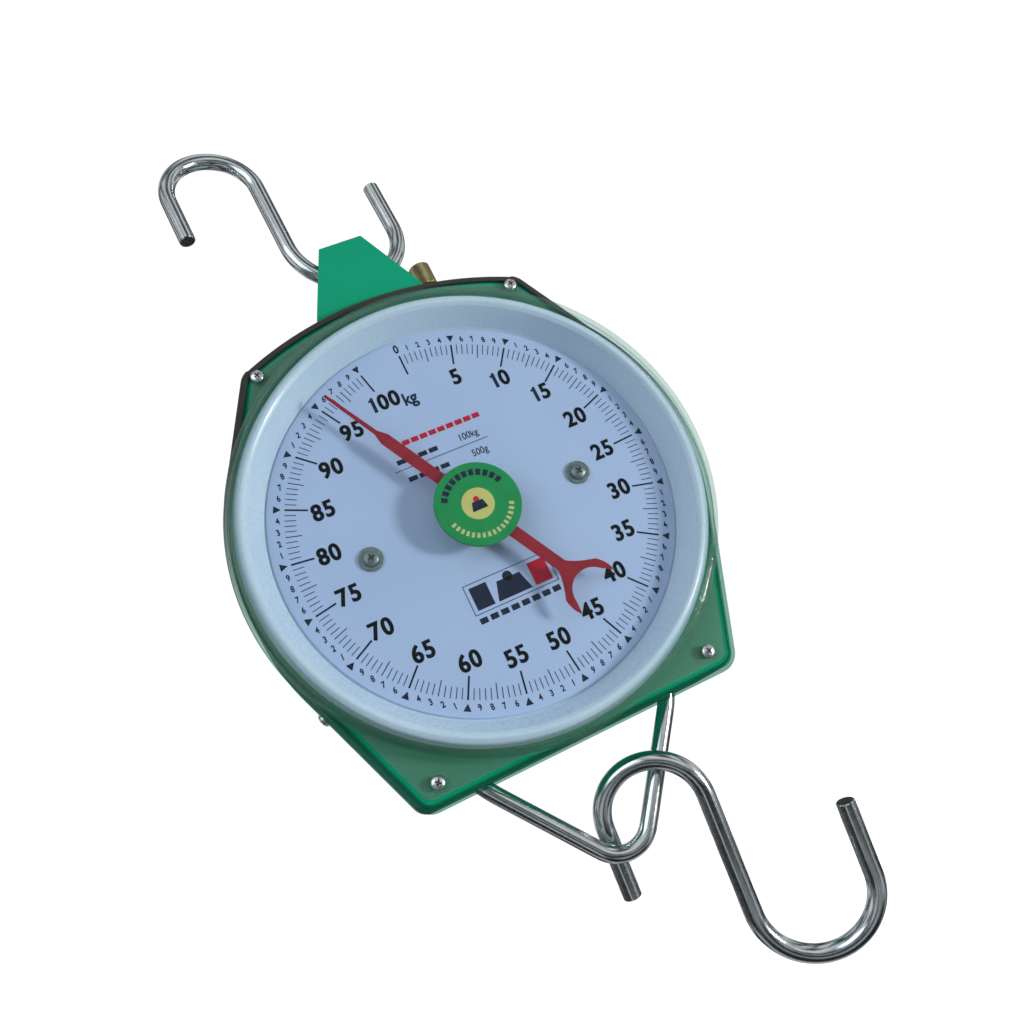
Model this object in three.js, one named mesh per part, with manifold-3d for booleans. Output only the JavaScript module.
// Hanging dial spring scale, 100 kg. Millimetres, +Z up, the dial faces -Y.
// The dial centre is the design origin; the last step moves the origin to the hang point.
import * as THREE from 'three';
import { mergeVertices } from 'three/addons/utils/BufferGeometryUtils.js';
import Module from 'manifold-3d';

const wasm = await Module();
wasm.setup();

// ---- driving dimensions -------------------------------------------------------------------
const GAP = 0.3; // running gap between neighbouring pieces
const ROUND = 48; // facets round the drum, the pan and the dial
const LOAD_Y = 23; // depth of the load line behind the dial face
const CASE_FRONT = -1.9;
const CASE_BACK = 44.3;
const WALL = 1.6;

// Outline of the clear cover: a round middle with four rounded corners
const OUTLINE = {
  belly: 125.5,
  top: { x: 73, z: 108, r: 10 },
  bottom: { x: 78, z: -115.5, r: 11 },
  crownR: 190,
  crownZ: 133,
};
const COVER_FLANGE = { front: -4, thick: 1.8, skirtBack: 2 };
const DRUM = { baseR: 124, frontR: 123.4, frontY: -17, thick: 1.8, edge: 4 };
const CASE_INSET = 2.2; // case wall inside the cover's outline
const CASE_MOUTH = 112; // round opening for the dial pan

const DIAL = { r: 105.6, thick: 1, boreR: 4 };
const PAN = { floorY: 1.3, thick: 1.2, boreR: 12 };
const DIAL_SCREW = { x: 58.6, z: -1.8, headR: 4.15, shankR: 2 };
const WASHER = { r: 6.3, thick: 0.9 };
const COVER_SCREWS = { topX: 73.2, topZ: 110.7, bottomX: 74, bottomZ: -114.2 };

const SHAFT_R = 2;
const BUSH = { r: 5, boreR: 2.3, flangeR: 7 };
const PINION = { teeth: 12, module: 0.8, y0: 19, y1: 27 };
const RACK = { y0: 20.5, y1: 25.5, low: -78.3, high: 44, spine: 5.9, back: 11.4 };
const POINTER = { y0: -10.4, y1: -9.2, restAngle: -28.8 };
const HUB_CAP = { r: 22.3, y0: -13.2, y1: -11.6 };

const CHASSIS = { y0: 2.9, y1: 5.9, halfWidth: 66, low: -38, high: 96 };
const YOKE_TOP = { halfWidth: 48, y0: 8, y1: 38, low: 110, high: 121 };
const YOKE_LOW = { halfWidth: 64, y0: 15, y1: 31, low: -88.6, high: -78.6 };
const SPRING = { x: 34, outerR: 12, innerR: 9.4 };
const PLUG = { r: 9, length: 14 };

const BRACKET = { topHalf: 12, footHalf: 31.5, footZ: 133.4, topZ: 178, sheet: 2 };
const BRACKET_PLATES = { frontFoot: 3.2, frontTop: 7.4, backFoot: 42.8, backTop: 38.6 };
const BRACKET_BOLT = { x: 18, frontY: 12.6, backY: 33.4, shankR: 3 };
const PIN = { r: 4.3, z: 167.4 };

const TOP_HOOK = {
  wireR: 4.7, upperR: 25.45, lowerR: 32.95, spine: 45.6, upperLeg: 28.7, lowerLeg: 31.7,
  bowl: [5.7, LOAD_Y, 189.6], turn: [-4.2, 0, 12.2],
};
const LOAD_HOOK = {
  wireR: 5, upperR: 26.4, lowerR: 30.9, spine: 65.3, upperLeg: 36.7, lowerLeg: 38.3,
  bowl: [73.3, LOAD_Y, -240.6], turn: [16.1, 6.3, -20.9],
};
const BAIL = { wireR: 4.6, apexR: 17.2, apexZ: -165.7, neckX: 47, legX: 55, legZ: -124, topZ: -68 };
const KNOB = { x: 35.6, y: 13, r: 6.2, low: 135.5, high: 149, ribs: 24 };
const ZERO_SCREW = { r: 2.2, low: 111 };
const ROLLER = { x: 16.1, z: 4, r: 4.4, boreR: 1.8 };

// ---- materials ----------------------------------------------------------------------------
const paint = (color, roughness, metalness) =>
  new THREE.MeshStandardMaterial({ color, roughness, metalness });
const FINISH = {
  green: () => paint(0x0e8a68, 0.3, 0.2),
  white: () => paint(0xe6ecf2, 0.3, 0.1),
  paper: () => paint(0xf2f4fa, 0.6, 0),
  clear: () => new THREE.MeshStandardMaterial({
    color: 0xdde8ea, roughness: 0.05, metalness: 0, transparent: true, opacity: 0.3,
  }),
  red: () => paint(0x9c1f34, 0.4, 0),
  badge: () => paint(0x23915a, 0.5, 0),
  chrome: () => paint(0xc4ccd2, 0.12, 1),
  steel: () => paint(0x9aa0a6, 0.35, 1),
  zinc: () => paint(0xb4b8bc, 0.3, 1),
  brass: () => paint(0xa8925a, 0.4, 1),
  springSteel: () => paint(0x55585c, 0.4, 1),
};

// ---- solids -------------------------------------------------------------------------------
/** Position-only closed geometry whose faces point out. */
function closed(geometry) {
  const bare = geometry.clone();
  bare.deleteAttribute('normal');
  bare.deleteAttribute('uv');
  const merged = mergeVertices(bare, 1e-4);
  const index = Array.from(merged.index.array);
  const triangles = [];
  for (let i = 0; i < index.length; i += 3) {
    const [a, b, c] = [index[i], index[i + 1], index[i + 2]];
    if (a !== b && b !== c && c !== a) triangles.push([a, b, c]);
  }
  const position = merged.getAttribute('position');
  const corner = (i) => new THREE.Vector3().fromBufferAttribute(position, i);
  const volume = triangles.reduce(
    (sum, [a, b, c]) => sum + corner(a).dot(corner(b).cross(corner(c))),
    0,
  );
  const turned = volume < 0 ? triangles.map(([a, b, c]) => [a, c, b]) : triangles;
  merged.setIndex(turned.flat());
  return merged;
}

function toManifold(geometry) {
  const solid = closed(geometry);
  return new wasm.Manifold(new wasm.Mesh({
    numProp: 3,
    vertProperties: new Float32Array(solid.getAttribute('position').array),
    triVerts: new Uint32Array(solid.index.array),
  }));
}

function toGeometry(manifold) {
  const mesh = manifold.getMesh();
  const geometry = new THREE.BufferGeometry();
  geometry.setAttribute('position', new THREE.BufferAttribute(mesh.vertProperties, 3));
  geometry.setIndex(new THREE.BufferAttribute(mesh.triVerts, 1));
  return geometry;
}

/** First geometry, joined with every geometry in add, less every geometry in cut. */
function combine(base, { add = [], cut = [] }) {
  let solid = toManifold(base);
  for (const piece of add) solid = solid.add(toManifold(piece));
  for (const tool of cut) solid = solid.subtract(toManifold(tool));
  return toGeometry(solid);
}

/** A shape drawn in X and Z, extruded from y0 to y1. */
function slab(shape, y0, y1, curveSegments = 7) {
  const geometry = new THREE.ExtrudeGeometry(shape, { depth: y1 - y0, bevelEnabled: false, curveSegments });
  return geometry.rotateX(Math.PI / 2).translate(0, y1, 0);
}

/** A shape drawn in X and Y, extruded from z0 to z1. */
function prism(shape, z0, z1, curveSegments = 12) {
  const geometry = new THREE.ExtrudeGeometry(shape, { depth: z1 - z0, bevelEnabled: false, curveSegments });
  return geometry.translate(0, 0, z0);
}

function box(x0, x1, y0, y1, z0, z1) {
  const geometry = new THREE.BoxGeometry(x1 - x0, y1 - y0, z1 - z0);
  return geometry.translate((x0 + x1) / 2, (y0 + y1) / 2, (z0 + z1) / 2);
}

/** Solid of revolution about Y through (x, z); profile points are [radius, y]. */
function turnedY(profile, segments = 32, x = 0, z = 0) {
  const points = profile.map(([r, y]) => new THREE.Vector2(r, y));
  return closed(new THREE.LatheGeometry(points, segments).translate(x, 0, z));
}

/** Solid of revolution about Z through (x, y); profile points are [radius, z]. */
function turnedZ(profile, segments = 32, x = 0, y = 0) {
  const points = profile.map(([r, z]) => new THREE.Vector2(r, z));
  return closed(new THREE.LatheGeometry(points, segments).rotateX(Math.PI / 2).translate(x, y, 0));
}

const ring = (inner, outer, a, b) => [[inner, a], [outer, a], [outer, b], [inner, b], [inner, a]];
const disc = (r, a, b) => [[0, a], [r, a], [r, b], [0, b]];
const rodY = (r, y0, y1, x = 0, z = 0, segments = 16) => turnedY(disc(r, y0, y1), segments, x, z);
const rodZ = (r, z0, z1, x = 0, y = 0, segments = 16) => turnedZ(disc(r, z0, z1), segments, x, y);

function polygon(points) {
  return new THREE.Shape(points.map(([x, y]) => new THREE.Vector2(x, y)));
}

// ---- case outline -------------------------------------------------------------------------
/** Angle at which the common tangent of the belly and a corner arc touches both. */
function tangentAngle(corner, belly) {
  const distance = Math.hypot(corner.x, corner.z);
  const lean = Math.acos((belly - corner.r) / distance);
  return Math.atan2(corner.z, corner.x) - Math.sign(corner.z) * lean;
}

/** The cover's outline moved inwards by inset, drawn anticlockwise in X and Z. */
function outline(inset) {
  const belly = OUTLINE.belly - inset;
  const top = { ...OUTLINE.top, r: OUTLINE.top.r - inset };
  const bottom = { ...OUTLINE.bottom, r: OUTLINE.bottom.r - inset };
  const crownR = OUTLINE.crownR - inset;
  const crownCentre = OUTLINE.crownZ - OUTLINE.crownR;
  const crownAngle = Math.atan2(top.z - crownCentre, top.x);
  const upper = tangentAngle(top, belly);
  const lower = tangentAngle(bottom, belly);
  const shape = new THREE.Shape();
  shape.absarc(0, 0, belly, lower, upper);
  shape.absarc(top.x, top.z, top.r, upper, crownAngle);
  shape.absarc(0, crownCentre, crownR, crownAngle, Math.PI - crownAngle);
  shape.absarc(-top.x, top.z, top.r, Math.PI - crownAngle, Math.PI - upper);
  shape.absarc(0, 0, belly, Math.PI - upper, Math.PI - lower);
  shape.absarc(-bottom.x, bottom.z, bottom.r, Math.PI - lower, Math.PI * 1.5);
  shape.absarc(bottom.x, bottom.z, bottom.r, -Math.PI / 2, lower);
  return shape;
}

/** Height of the case's top face above x. */
function crownHeight(x, inset) {
  const radius = OUTLINE.crownR - inset;
  return OUTLINE.crownZ - OUTLINE.crownR + Math.sqrt(radius * radius - x * x);
}

/** Where a side screw crosses the case wall: its point on the wall and the outward angle. */
function sideScrewPlaces() {
  const belly = OUTLINE.belly - CASE_INSET;
  const spots = [
    { corner: OUTLINE.top, along: 25 },
    { corner: OUTLINE.bottom, along: -16.5 },
  ];
  return spots.flatMap(({ corner, along }) => {
    const angle = tangentAngle(corner, OUTLINE.belly);
    const x = belly * Math.cos(angle) - along * Math.sin(angle);
    const z = belly * Math.sin(angle) + along * Math.cos(angle);
    return [{ x, z, angle }, { x: -x, z, angle: Math.PI - angle }];
  });
}

const SIDE_SCREW_Y = 34;

/** A rod along the outward direction of a side screw, from depth a inside to b outside. */
function sideRod(place, r, a, b) {
  const rod = rodZ(r, a, b, 0, 0, 12);
  return rod.rotateY(Math.PI / 2 - place.angle).translate(place.x, SIDE_SCREW_Y, place.z);
}

// ---- housing ------------------------------------------------------------------------------
const parts = new THREE.Group();

function node(name, geometry, material) {
  const mesh = new THREE.Mesh(closed(geometry), material);
  mesh.name = name;
  parts.add(mesh);
  return mesh;
}

const coverScrewPlaces = [
  [-COVER_SCREWS.topX, COVER_SCREWS.topZ],
  [COVER_SCREWS.topX, COVER_SCREWS.topZ],
  [-COVER_SCREWS.bottomX, COVER_SCREWS.bottomZ],
  [COVER_SCREWS.bottomX, COVER_SCREWS.bottomZ],
];

const boltPlaces = [
  [-BRACKET_BOLT.x, BRACKET_BOLT.frontY],
  [BRACKET_BOLT.x, BRACKET_BOLT.frontY],
  [-BRACKET_BOLT.x, BRACKET_BOLT.backY],
  [BRACKET_BOLT.x, BRACKET_BOLT.backY],
];

function addCase() {
  const block = slab(outline(CASE_INSET), CASE_FRONT, CASE_BACK);
  const rims = [
    slab(outline(CASE_INSET + WALL), CASE_FRONT + WALL, CASE_BACK + 5),
    rodY(CASE_MOUTH, CASE_FRONT - 5, CASE_FRONT + 5, 0, 0, ROUND),
    ...coverScrewPlaces.map(([x, z]) => rodY(2.1, CASE_FRONT - 5, 5, x, z, 12)),
    ...boltPlaces.map(([x, y]) => rodZ(BRACKET_BOLT.shankR + GAP, 120, 140, x, y, 12)),
    ...[-1, 1].map((side) => rodZ(BAIL.wireR + 2.6, -130, -118, side * (BAIL.legX - 0.8), LOAD_Y)),
    rodZ(5.3, 120, 140, KNOB.x, KNOB.y),
    ...sideScrewPlaces().map((place) => sideRod(place, 2.1, -4, 4)),
  ];
  node('case_shell', combine(block, { cut: rims }), FINISH.green());
}

function addRearCover() {
  const plateFront = CASE_BACK + GAP;
  const plate = slab(outline(CASE_INSET), plateFront, plateFront + WALL);
  const lipInset = CASE_INSET + WALL + GAP;
  const lip = combine(slab(outline(lipInset), CASE_BACK - 15, plateFront + 0.5), {
    cut: [slab(outline(lipInset + 1.5), CASE_BACK - 20, plateFront)],
  });
  const holes = sideScrewPlaces().map((place) => sideRod(place, 2.1, -8, 4));
  const yokeBay = box(-52, 52, CASE_BACK - 20, plateFront - 1, 105, 140);
  const rim = combine(lip, { cut: [yokeBay] });
  node('rear_cover', combine(plate, { add: [rim], cut: holes }), FINISH.green());
  sideScrewPlaces().forEach((place, i) => {
    const screw = combine(sideRod(place, 1.75, -6, 1), { add: [sideRod(place, 3.6, GAP, 2.6)] });
    node(`side_screw_${i + 1}`, screw, FINISH.zinc());
  });
}

/** Clear cover: a skirted flange on the case front with a round drum standing out of it. */
function addClearCover() {
  const { front, thick, skirtBack } = COVER_FLANGE;
  const back = front + thick;
  const base = slab(outline(0), front, skirtBack);
  const pocket = slab(outline(thick), back, skirtBack + 5);
  const innerBase = DRUM.baseR - DRUM.thick;
  const innerFront = DRUM.frontR - DRUM.thick;
  const { edge } = DRUM;
  const drum = turnedY([
    [innerBase, back],
    [DRUM.baseR, back],
    [DRUM.baseR - 0.2, front - 1],
    [DRUM.frontR, DRUM.frontY + edge],
    [DRUM.frontR - 1.2, DRUM.frontY + 1.2],
    [DRUM.frontR - edge, DRUM.frontY],
    [0, DRUM.frontY],
    [0, DRUM.frontY + DRUM.thick],
    [innerFront - 3, DRUM.frontY + DRUM.thick],
    [innerFront, DRUM.frontY + DRUM.thick + 3],
    [innerBase, back],
  ], ROUND);
  const bore = rodY(innerBase + 0.4, front - 2, back + 2, 0, 0, ROUND);
  const holes = coverScrewPlaces.map(([x, z]) => rodY(2.1, front - 2, back + 2, x, z, 12));
  const flange = combine(base, { cut: [pocket, bore] });
  node('clear_cover', combine(flange, { add: [drum], cut: holes }), FINISH.clear());
  coverScrewPlaces.forEach(([x, z], i) => {
    const seat = front - GAP;
    const screw = turnedY([
      [0, seat - 2.2], [2.4, seat - 1.9], [3.5, seat - 0.8], [3.5, seat],
      [1.7, seat], [1.7, 4], [0, 4],
    ], 12, x, z);
    node(`cover_screw_${i + 1}`, screw, FINISH.zinc());
  });
}

/** Dished pan with a rolled rim, carrying the printed dial plate on its floor. */
function addDial() {
  const { floorY, thick, boreR } = PAN;
  const pan = turnedY([
    [boreR, floorY],
    [DIAL.r - 0.2, floorY],
    [106.6, -0.2],
    [112.8, -12.6],
    [115.2, -14.7],
    [118.4, -13],
    [120, -8.8],
    [118.8, -8.8],
    [117.4, -12.2],
    [115.3, -13.3],
    [114, -12],
    [107.6, 0.8],
    [105.6, floorY + thick],
    [boreR, floorY + thick],
    [boreR, floorY],
  ], ROUND);
  const screwSpots = [-1, 1].map((side) => [side * DIAL_SCREW.x, DIAL_SCREW.z]);
  const holes = () => screwSpots.map(([x, z]) => rodY(2.3, -5, 8, x, z, 16));
  node('dial_pan', combine(pan, { cut: holes() }), FINISH.white());
  const plate = turnedY(ring(DIAL.boreR, DIAL.r - 0.8, 0, DIAL.thick), ROUND);
  node('dial_plate', combine(plate, { cut: holes() }), FINISH.paper());
  screwSpots.forEach(([x, z], i) => {
    const washerBack = -GAP;
    const washerFront = washerBack - WASHER.thick;
    const seat = washerFront - GAP;
    node(`dial_washer_${i + 1}`, turnedY(ring(2.4, WASHER.r, washerFront, washerBack), 20, x, z),
      FINISH.zinc());
    const screw = turnedY([
      [0, seat - 2.4], [2.6, seat - 2.1], [DIAL_SCREW.headR, seat - 0.6], [DIAL_SCREW.headR, seat],
      [DIAL_SCREW.shankR, seat], [DIAL_SCREW.shankR, 8], [0, 8],
    ], 14, x, z);
    node(`dial_screw_${i + 1}`, screw, FINISH.zinc());
  });
}

// ---- hanger bracket and top yoke ----------------------------------------------------------
/** Trapezoid plate between two depths, leaning from its foot to its top. */
function leaningPlate(footY, topY) {
  const { topHalf, footHalf, footZ, topZ, sheet } = BRACKET;
  const nib = 1.6;
  const plate = slab(polygon([
    [-footHalf, footZ],
    [footHalf, footZ],
    [topHalf, topZ - 1.2],
    [topHalf - 1.2, topZ],
    [-topHalf - nib, topZ],
    [-topHalf - nib, topZ - 2],
    [-topHalf, topZ - 3.4],
  ]), 0, sheet);
  const lean = (topY - footY) / (topZ - footZ);
  const shear = new THREE.Matrix4().set(1, 0, 0, 0, 0, 1, lean, footY - lean * footZ, 0, 0, 1, 0, 0, 0, 0, 1);
  return closed(plate).applyMatrix4(shear);
}

/** Folded bracket: two leaning plates, a top web and feet lying on the case's crown. */
function addBracket() {
  const { frontFoot, frontTop, backFoot, backTop } = BRACKET_PLATES;
  const { footHalf, sheet, topHalf, topZ } = BRACKET;
  const back = (y) => y - sheet;
  const frontPlate = leaningPlate(frontFoot, frontTop);
  const backPlate = leaningPlate(back(backFoot), back(backTop));
  const web = box(-topHalf, topHalf, frontTop, backTop, topZ - sheet, topZ);
  const footBand = (y0, y1) => {
    const lower = CASE_INSET - GAP;
    const upper = lower - sheet;
    const shape = new THREE.Shape();
    const centre = OUTLINE.crownZ - OUTLINE.crownR;
    const swing = Math.asin((footHalf - 3) / OUTLINE.crownR);
    const middle = Math.PI / 2;
    shape.absarc(0, centre, OUTLINE.crownR - lower, middle - swing, middle + swing);
    shape.absarc(0, centre, OUTLINE.crownR - upper, middle + swing, middle - swing, true);
    return slab(shape, y0, y1, 10);
  };
  const frontFlange = footBand(frontFoot, frontFoot + 14);
  const backFlange = footBand(backFoot - 14, backFoot);
  const skirt = (y0, y1) => slab(polygon([
    [-footHalf, crownHeight(footHalf, CASE_INSET - 1)],
    [footHalf, crownHeight(footHalf, CASE_INSET - 1)],
    [footHalf, BRACKET.footZ + 0.6],
    [-footHalf, BRACKET.footZ + 0.6],
  ]), y0, y1);
  const caseCrown = slab(outline(CASE_INSET - GAP), -20, 60, 24);
  const frontSkirt = combine(skirt(frontFoot, frontFoot + sheet), { cut: [caseCrown] });
  const backSkirt = combine(skirt(back(backFoot), backFoot), { cut: [caseCrown] });
  const holes = boltPlaces.map(([x, y]) => rodZ(BRACKET_BOLT.shankR + GAP, 120, 140, x, y, 12));
  const bracket = combine(frontPlate, {
    add: [backPlate, web, frontFlange, backFlange, frontSkirt, backSkirt],
    cut: holes,
  });
  node('hanger_bracket', bracket, FINISH.green());
  const depthAtPin = (PIN.z - BRACKET.footZ) / (BRACKET.topZ - BRACKET.footZ);
  const pinFront = frontFoot + (frontTop - frontFoot) * depthAtPin + sheet + GAP + 0.5;
  const pinBack = backFoot + (backTop - backFoot) * depthAtPin - sheet - GAP - 0.5;
  node('suspension_pin', rodY(PIN.r, pinFront, pinBack, 0, PIN.z), FINISH.steel());
  boltPlaces.forEach(([x, y], i) => {
    const seat = crownHeight(Math.abs(x) - 7, CASE_INSET) + BRACKET.sheet + 2 * GAP;
    const head = turnedZ(disc(6.4, seat, seat + 4.6), 6, x, y);
    const shank = rodZ(BRACKET_BOLT.shankR, YOKE_TOP.low + 2, seat + 1, x, y, 16);
    node(`bracket_bolt_${i + 1}`, combine(shank, { add: [head] }), FINISH.zinc());
  });
}

function addTopYoke() {
  const { halfWidth, y0, y1, low, high } = YOKE_TOP;
  const block = box(-halfWidth, halfWidth, y0, y1, low, high);
  const holes = boltPlaces.map(([x, y]) => rodZ(BRACKET_BOLT.shankR + GAP, low + 1.5, high + 5, x, y, 16));
  const screwBay = box(KNOB.x - 6, KNOB.x + 6, y0 - 5, KNOB.y + 6, low - 5, high + 5);
  node('upper_yoke', combine(block, { cut: [...holes, screwBay] }), FINISH.steel());
}

// ---- springs and load carriage ------------------------------------------------------------
function addSprings() {
  const top = YOKE_TOP.low - GAP;
  const bottom = YOKE_LOW.high + GAP;
  for (const [side, sign] of [['left', -1], ['right', 1]]) {
    const x = sign * SPRING.x;
    const coil = turnedZ(ring(SPRING.innerR, SPRING.outerR, bottom, top), 16, x, LOAD_Y);
    node(`spring_${side}`, coil, FINISH.springSteel());
    node(`upper_plug_${side}`, rodZ(PLUG.r, top - PLUG.length, top, x, LOAD_Y), FINISH.steel());
    node(`lower_plug_${side}`, rodZ(PLUG.r, bottom, bottom + PLUG.length, x, LOAD_Y), FINISH.steel());
  }
}

/** Lower yoke with its bail bores, the toothed rack standing on it, and the bail's nuts. */
function addCarriage() {
  const { halfWidth, y0, y1, low, high } = YOKE_LOW;
  const bar = box(-halfWidth, halfWidth, y0, y1, low, high);
  const bores = [-1, 1].map((side) => (
    rodZ(BAIL.wireR + GAP, low - 5, high + 5, side * BAIL.legX, LOAD_Y, 20)));
  node('lower_yoke', combine(bar, { cut: bores }), FINISH.steel());
  node('rack', slab(rackShape(), RACK.y0, RACK.y1), FINISH.brass());
  for (const [side, sign] of [['left', -1], ['right', 1]]) {
    const seat = high + GAP;
    const nut = combine(turnedZ(disc(8.2, seat, seat + 6), 6, sign * BAIL.legX, LOAD_Y), {
      cut: [rodZ(BAIL.wireR + GAP, seat - 2, seat + 8, sign * BAIL.legX, LOAD_Y, 20)],
    });
    node(`bail_nut_${side}`, nut, FINISH.zinc());
  }
}

/** Rack outline: foot, spine and teeth that face the pinion on the -X side. */
function rackShape() {
  const { low, high, spine, back } = RACK;
  const pitch = Math.PI * PINION.module;
  const tipX = PINION.teeth * PINION.module / 2 - PINION.module * 0.85;
  const first = -3.5;
  const last = 16.5;
  const points = [[-6, low], [16, low], [16, low + 3], [back, low + 3], [back, high], [spine, high]];
  for (let k = last; k >= first; k -= 1) {
    const z = k * pitch;
    points.push([spine, z + 0.62], [tipX, z + 0.26], [tipX, z - 0.26], [spine, z - 0.62]);
  }
  points.push([spine, low + 3], [-6, low + 3]);
  return polygon(points);
}

function pinionShape() {
  const pitchR = PINION.teeth * PINION.module / 2;
  const rootR = pitchR - 1.15;
  const tipR = pitchR + 0.7;
  const shape = new THREE.Shape();
  for (let i = 0; i < PINION.teeth; i += 1) {
    const middle = i * 2 * Math.PI / PINION.teeth;
    const spots = [[rootR, -0.6], [tipR, -0.26], [tipR, 0.26], [rootR, 0.6]];
    spots.forEach(([r, half], j) => {
      const angle = middle + half / r;
      const move = i === 0 && j === 0 ? 'moveTo' : 'lineTo';
      shape[move](r * Math.cos(angle), r * Math.sin(angle));
    });
  }
  shape.closePath();
  return shape;
}

// ---- movement -----------------------------------------------------------------------------
function addMovement() {
  const { y0, y1, halfWidth, low, high } = CHASSIS;
  const plate = slab(polygon([
    [-halfWidth, low], [halfWidth, low], [halfWidth, high], [40, high], [40, 120],
    [-40, 120], [-40, high], [-halfWidth, high],
  ]), y0, y1);
  const windows = [-1, 1].map((side) => (
    box(side * 34 - 18, side * 34 + 18, y0 - 5, y1 + 5, 32, 88)));
  const boreTools = [
    rodY(BUSH.r + GAP, y0 - 5, y1 + 5),
    ...[-1, 1].map((side) => rodY(2.3, y0 - 5, y1 + 5, side * DIAL_SCREW.x, DIAL_SCREW.z, 16)),
    ...[-1, 1].map((side) => rodY(2.3, y0 - 5, y1 + 5, -6, side * 30, 16)),
  ];
  node('chassis_plate', combine(plate, { cut: [...windows, ...boreTools] }), FINISH.zinc());

  const bridgeBack = 38;
  const bridgeSheet = 3;
  const bridgeFront = y1 + GAP;
  const bridgeX = [-15, 3.2];
  const shell = box(...bridgeX, bridgeFront, bridgeBack, -24, 24);
  const hollow = box(-30, 30, bridgeFront - 5, bridgeBack - bridgeSheet, -21.5, 21.5);
  const feet = [-1, 1].map((side) => (
    box(...bridgeX, bridgeFront, bridgeFront + 2.5, side * 29 - 7, side * 29 + 7)));
  const backTab = box(-15, 7, bridgeBack - bridgeSheet, bridgeBack, -9, 9);
  const bores = [
    rodY(BUSH.r + GAP, bridgeBack - 8, bridgeBack + 5),
    ...[-1, 1].map((side) => rodY(2.3, 0, 12, -6, side * 30, 16)),
  ];
  const arch = combine(shell, { cut: [hollow] });
  node('bearing_bridge', combine(arch, { add: [...feet, backTab], cut: bores }), FINISH.zinc());
  [-1, 1].forEach((side, i) => {
    const seat = bridgeFront + 2.5 + GAP;
    const screw = turnedY([
      [0, y0 + 0.4], [1.9, y0 + 0.4], [1.9, seat], [3.8, seat], [3.8, seat + 1.6], [2.4, seat + 2.4],
      [0, seat + 2.4],
    ], 12, -6, side * 30);
    node(`bridge_screw_${i + 1}`, screw, FINISH.zinc());
  });

  const bush = (from, to, flangeTo) => turnedY([
    [BUSH.boreR, from], [BUSH.r, from], [BUSH.r, to], [BUSH.flangeR, to], [BUSH.flangeR, flangeTo],
    [BUSH.boreR, flangeTo], [BUSH.boreR, from],
  ], 16);
  node('front_bush', bush(y0, y1 + GAP, y1 + 2), FINISH.brass());
  node('rear_bush', bush(bridgeBack - bridgeSheet, bridgeBack + GAP, bridgeBack + 1.8), FINISH.brass());

  const shaftFront = HUB_CAP.y1 + GAP;
  node('pointer_shaft', rodY(SHAFT_R, shaftFront, bridgeBack + 3, 0, 0, 20), FINISH.steel());
  const pinion = combine(slab(pinionShape(), PINION.y0, PINION.y1), {
    cut: [rodY(SHAFT_R + GAP, PINION.y0 - 5, PINION.y1 + 5, 0, 0, 20)],
  });
  node('pinion', pinion, FINISH.brass());

  const rollerY = [RACK.y0 - 1.5, RACK.y1 + 1.5];
  const rollerPin = rodY(1.5, y1 + GAP, rollerY[1] + 2.5, ROLLER.x, ROLLER.z, 16);
  node('roller_pin', rollerPin, FINISH.steel());
  node('rack_roller', turnedY(ring(ROLLER.boreR, ROLLER.r, ...rollerY), 16, ROLLER.x, ROLLER.z),
    FINISH.brass());

  const strip = box(-12, -10.8, 12, 24, 24 + GAP, 84);
  const stripFoot = box(-12, -3, 12, 24, 24 + GAP, 25.6);
  node('bimetal_strip', combine(strip, { add: [stripFoot] }), FINISH.brass());
}

/** Red pointer: a broad arm stepping down to a needle, and a crescent tail. */
function addPointer() {
  const armHalf = 2.9;
  const needleHalf = 0.95;
  const tail = 51.7;
  const forkCentre = 72.3;
  const forkInner = 11.8;
  const tipSpread = 1.22;
  const shape = new THREE.Shape();
  shape.moveTo(needleHalf, 64);
  shape.lineTo(0.55, 97.1);
  shape.lineTo(-0.55, 97.1);
  shape.lineTo(-needleHalf, 64);
  shape.lineTo(-armHalf, 58.6);
  shape.lineTo(-armHalf, -tail);
  shape.quadraticCurveTo(-5.5, -57, -13.2, -63.6);
  shape.quadraticCurveTo(-15.4, -68.5, -14.3, -73.6);
  shape.absarc(0, -forkCentre, forkInner, Math.PI / 2 + tipSpread, Math.PI / 2 - tipSpread, true);
  shape.lineTo(14.3, -73.6);
  shape.quadraticCurveTo(15.4, -68.5, 13.2, -63.6);
  shape.quadraticCurveTo(5.5, -57, armHalf, -tail);
  shape.lineTo(armHalf, 58.6);
  shape.closePath();
  const flat = slab(shape, POINTER.y0, POINTER.y1, 10);
  const boss = rodY(7, POINTER.y0 + 0.1, POINTER.y1 + 3.4);
  const bore = rodY(SHAFT_R + GAP, POINTER.y0 - 5, POINTER.y1 + 6, 0, 0, 20);
  const pointer = combine(flat, { add: [boss], cut: [bore] });
  pointer.rotateY(THREE.MathUtils.degToRad(POINTER.restAngle));
  node('pointer', pointer, FINISH.red());
  const { r, y0, y1 } = HUB_CAP;
  const cap = turnedY([[0, y0], [r - 0.8, y0], [r, y0 + 0.6], [r, y1], [0, y1]], 32);
  node('hub_cap', cap, FINISH.badge());
}

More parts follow.
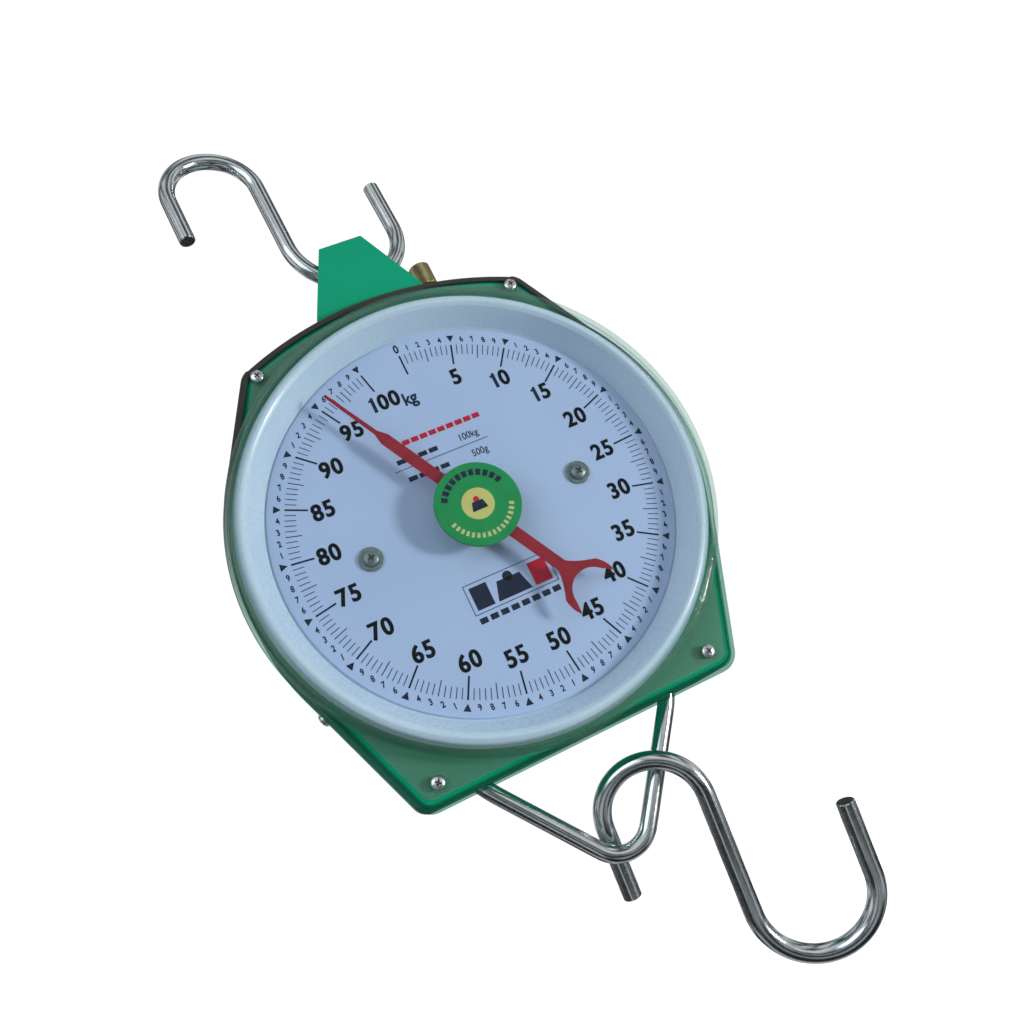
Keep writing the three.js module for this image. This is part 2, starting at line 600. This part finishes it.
// ---- zero adjuster ------------------------------------------------------------------------
function addZeroAdjuster() {
  const { x, y, r, low, high, ribs } = KNOB;
  const knob = new THREE.Shape();
  for (let i = 0; i < 2 * ribs; i += 1) {
    const angle = i * Math.PI / ribs;
    const radius = i % 2 === 0 ? r : r - 0.45;
    knob[i === 0 ? 'moveTo' : 'lineTo'](radius * Math.cos(angle), radius * Math.sin(angle));
  }
  knob.closePath();
  const body = prism(knob, low, high).translate(x, y, 0);
  const socket = rodZ(ZERO_SCREW.r + GAP, low - 1, low + 6, x, y, 16);
  node('zero_knob', combine(body, { cut: [socket] }), FINISH.brass());
  node('zero_screw', rodZ(ZERO_SCREW.r, ZERO_SCREW.low, low + 5.5, x, y, 16), FINISH.steel());
  const crown = crownHeight(x - 7, CASE_INSET) + GAP;
  const bushing = turnedZ([
    [ZERO_SCREW.r + GAP, 120], [4.9, 120], [4.9, crown + 0.4], [6, crown + 0.4], [6, low - GAP - 1.4],
    [4.6, low - GAP], [ZERO_SCREW.r + GAP, low - GAP], [ZERO_SCREW.r + GAP, 120],
  ], 16, x, y);
  node('knob_bush', bushing, FINISH.steel());
  const nutLow = YOKE_TOP.low + 2.5;
  const nut = combine(box(x - 5, x + 5, y - 4, y + 4, nutLow, nutLow + 6), {
    cut: [rodZ(ZERO_SCREW.r + GAP, nutLow - 2, nutLow + 8, x, y, 16)],
  });
  node('zero_nut', nut, FINISH.brass());
}

// ---- wires: hooks and bail ----------------------------------------------------------------
/** Arc in the X-Z plane from one angle to another. */
class Arc extends THREE.Curve {
  constructor(x, z, r, from, to) {
    super();
    Object.assign(this, { x, z, r, from, to });
  }

  getPoint(t) {
    const angle = this.from + (this.to - this.from) * t;
    return new THREE.Vector3(this.x + this.r * Math.cos(angle), 0, this.z + this.r * Math.sin(angle));
  }
}

const line = (x0, z0, x1, z1) => (
  new THREE.LineCurve3(new THREE.Vector3(x0, 0, z0), new THREE.Vector3(x1, 0, z1)));

/** Round wire of radius r along joined curves, with a step about every stepLength. */
function wire(curves, r, stepLength, sides = 10) {
  const path = new THREE.CurvePath();
  curves.forEach((curve) => path.add(curve));
  const section = new THREE.Shape();
  for (let i = 0; i < sides; i += 1) {
    const angle = i * 2 * Math.PI / sides;
    section[i === 0 ? 'moveTo' : 'lineTo'](r * Math.cos(angle), r * Math.sin(angle));
  }
  section.closePath();
  const steps = Math.round(path.getLength() / stepLength);
  return new THREE.ExtrudeGeometry(section, { steps, extrudePath: path });
}

/** S-hook about the centre of its lower bowl: upper bowl to the left, lower bowl to the right. */
function sHook(hook) {
  const { wireR, upperR, lowerR, spine, upperLeg, lowerLeg } = hook;
  const upperX = -lowerR - upperR;
  return wire([
    line(upperX - upperR, spine - upperLeg, upperX - upperR, spine),
    new Arc(upperX, spine, upperR, Math.PI, 0),
    line(-lowerR, spine, -lowerR, 0),
    new Arc(0, 0, lowerR, Math.PI, 2 * Math.PI),
    line(lowerR, 0, lowerR, lowerLeg),
  ], wireR, 7.5);
}

function addHook(name, hook) {
  const mesh = node(name, sHook(hook), FINISH.chrome());
  const [pitch, roll, yaw] = hook.turn.map(THREE.MathUtils.degToRad);
  mesh.position.set(...hook.bowl);
  mesh.rotation.set(pitch, roll, yaw, 'ZXY');
}

/** Bail: a V of round wire whose two ends turn upright into the case. */
function addBail() {
  const { wireR, apexR, apexZ, neckX, legX, legZ, topZ } = BAIL;
  const neckZ = -132.5;
  const distance = Math.hypot(neckX, neckZ - apexZ);
  const open = Math.atan2(neckZ - apexZ, neckX) - Math.acos(apexR / distance);
  const touchX = apexR * Math.cos(open);
  const touchZ = apexZ + apexR * Math.sin(open);
  const bend = (side) => new THREE.QuadraticBezierCurve3(
    new THREE.Vector3(side * neckX, 0, neckZ),
    new THREE.Vector3(side * legX, 0, neckZ + (legX - neckX) * (neckZ - touchZ) / (neckX - touchX)),
    new THREE.Vector3(side * legX, 0, legZ + 6),
  );
  const reversed = (curve) => new THREE.QuadraticBezierCurve3(curve.v2, curve.v1, curve.v0);
  const bail = wire([
    line(-legX, topZ, -legX, legZ + 6),
    reversed(bend(-1)),
    line(-neckX, neckZ, -touchX, touchZ),
    new Arc(0, apexZ, apexR, Math.PI - open, 2 * Math.PI + open),
    line(touchX, touchZ, neckX, neckZ),
    bend(1),
    line(legX, legZ + 6, legX, topZ),
  ], wireR, 7.5);
  node('bail', bail, FINISH.chrome()).position.y = LOAD_Y;
}

// ---- assembly -----------------------------------------------------------------------------
addCase();
addRearCover();
addClearCover();
addDial();
addBracket();
addTopYoke();
addSprings();
addCarriage();
addMovement();
addPointer();
addZeroAdjuster();
addBail();
addHook('top_hook', TOP_HOOK);
addHook('load_hook', LOAD_HOOK);

/** Crown of the top hook's upper bowl, on the wire's inner side, in the design frame. */
function hangPoint() {
  const { upperR, lowerR, spine, wireR, bowl, turn } = TOP_HOOK;
  const [pitch, roll, yaw] = turn.map(THREE.MathUtils.degToRad);
  const crown = new THREE.Vector3(-lowerR - upperR, 0, spine + upperR - wireR);
  crown.applyEuler(new THREE.Euler(pitch, roll, yaw, 'ZXY'));
  return crown.add(new THREE.Vector3(...bowl));
}

const scale = new THREE.Group();
parts.position.copy(hangPoint()).negate();
scale.add(parts);

export default scale;
